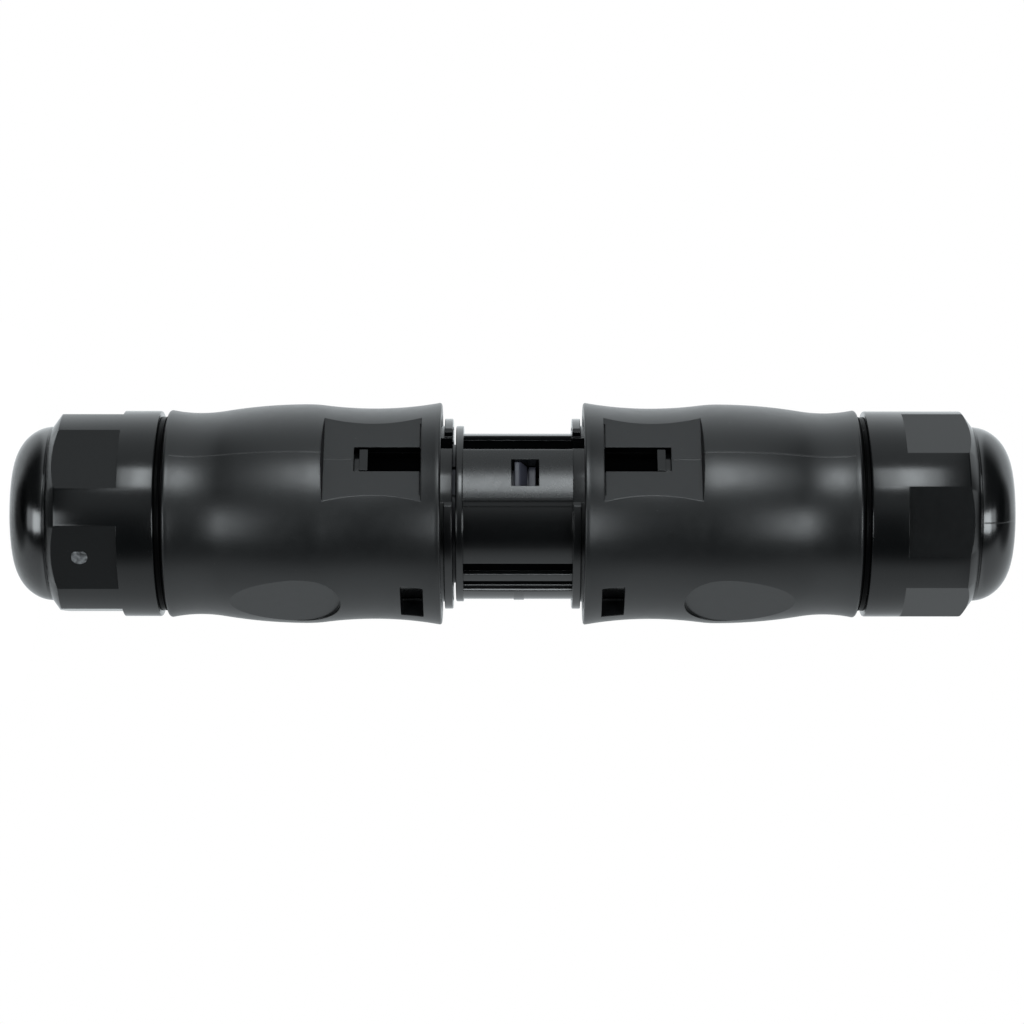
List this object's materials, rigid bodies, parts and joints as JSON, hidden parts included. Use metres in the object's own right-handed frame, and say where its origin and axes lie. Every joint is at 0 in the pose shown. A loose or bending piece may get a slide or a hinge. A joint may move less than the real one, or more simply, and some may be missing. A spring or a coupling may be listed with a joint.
{
  "type": "industrial cable coupler",
  "caption": "Round plug-together cable coupler: waisted barrel sleeves, domed gland nuts, a windowed nose between them, pin and socket contacts, seals and latches inside.",
  "frame": {"origin": "centre of the lower nut's flat end, on the surface it stands on", "axes": "+Z along the coupler's axis from the socket half up to the plug half; the front flat pads face -Y, and the latch window is 5.6 degrees round from them, towards +X"},
  "size_m": [0.035, 0.035, 0.1568],
  "materials": {
    "grained_black": "fine satin grain, moulded black polyamide",
    "smooth_black": "smooth satin-gloss, moulded black polyamide",
    "violet_grey": "smooth, dark violet-grey polyamide",
    "black_rubber": "smooth black rubber with a soft shine",
    "contact_brass": "turned brass",
    "screw_steel": "zinc-plated steel"
  },
  "bodies": {
    "socket_half": {"socket_sleeve": "grained_black", "socket_nut_seal": "black_rubber", "socket_grommet": "black_rubber", "socket_clamp_cage": "smooth_black", "socket_insert_seal": "black_rubber", "socket_wire_plate": "smooth_black", "socket_insert": "smooth_black", "socket_contact_line": "contact_brass", "socket_terminal_screw_line": "screw_steel", "socket_contact_earth": "contact_brass", "socket_terminal_screw_earth": "screw_steel", "socket_contact_neutral": "contact_brass", "socket_terminal_screw_neutral": "screw_steel", "socket_core": "violet_grey"},
    "socket_slip": {"socket_slip_ring": "smooth_black"},
    "socket_nut": {"socket_gland_nut": "smooth_black"},
    "plug_half": {"plug_sleeve": "grained_black", "plug_nut_seal": "black_rubber", "plug_grommet": "black_rubber", "plug_clamp_cage": "smooth_black", "plug_insert_seal": "black_rubber", "plug_wire_plate": "smooth_black", "plug_insert": "smooth_black", "plug_contact_line": "contact_brass", "plug_terminal_screw_line": "screw_steel", "plug_contact_earth": "contact_brass", "plug_terminal_screw_earth": "screw_steel", "plug_contact_neutral": "contact_brass", "plug_terminal_screw_neutral": "screw_steel", "plug_carrier": "smooth_black", "face_seal": "black_rubber"},
    "plug_slip": {"plug_slip_ring": "smooth_black"},
    "plug_nut": {"plug_gland_nut": "smooth_black"},
    "front_latch": {"latch_arm_front": "violet_grey"},
    "rear_latch": {"latch_arm_rear": "violet_grey"}
  },
  "joints": [
    {"name": "uncouple", "type": "slide", "parent": "socket_half", "child": "plug_half", "axis": [0, 0, 1], "range_m": [0, 0.025], "deforming": ["latch_arm_front", "latch_arm_rear"]},
    {"name": "socket_nut_travel", "type": "slide", "parent": "socket_half", "child": "socket_slip", "axis": [0, 0, -1], "range_m": [0, 0.0045]},
    {"name": "socket_nut_turn", "type": "hinge", "parent": "socket_slip", "child": "socket_nut", "pos_m": [0, 0, 0.0124], "axis": [0, 0, -1], "range_deg": [0, 1080]},
    {"name": "plug_nut_travel", "type": "slide", "parent": "plug_half", "child": "plug_slip", "axis": [0, 0, 1], "range_m": [0, 0.0045]},
    {"name": "plug_nut_turn", "type": "hinge", "parent": "plug_slip", "child": "plug_nut", "pos_m": [0, 0, 0.1444], "axis": [0, 0, 1], "range_deg": [0, 1080]},
    {"name": "front_latch_press", "type": "hinge", "parent": "socket_half", "child": "front_latch", "pos_m": [0.00094, -0.00955, 0.0641], "axis": [-0.9952, -0.0976, 0], "range_deg": [0, 6.5], "stiffness_Nm_per_rad": 0.05},
    {"name": "rear_latch_press", "type": "hinge", "parent": "socket_half", "child": "rear_latch", "pos_m": [-0.00094, 0.00955, 0.0641], "axis": [0.9952, 0.0976, 0], "range_deg": [0, 6.5], "stiffness_Nm_per_rad": 0.05}
  ],
  "couplings": [
    {"joint": "socket_nut_turn", "follows": "socket_nut_travel", "rad_per_m": 4188.7},
    {"joint": "plug_nut_turn", "follows": "plug_nut_travel", "rad_per_m": 4188.7}
  ]
}
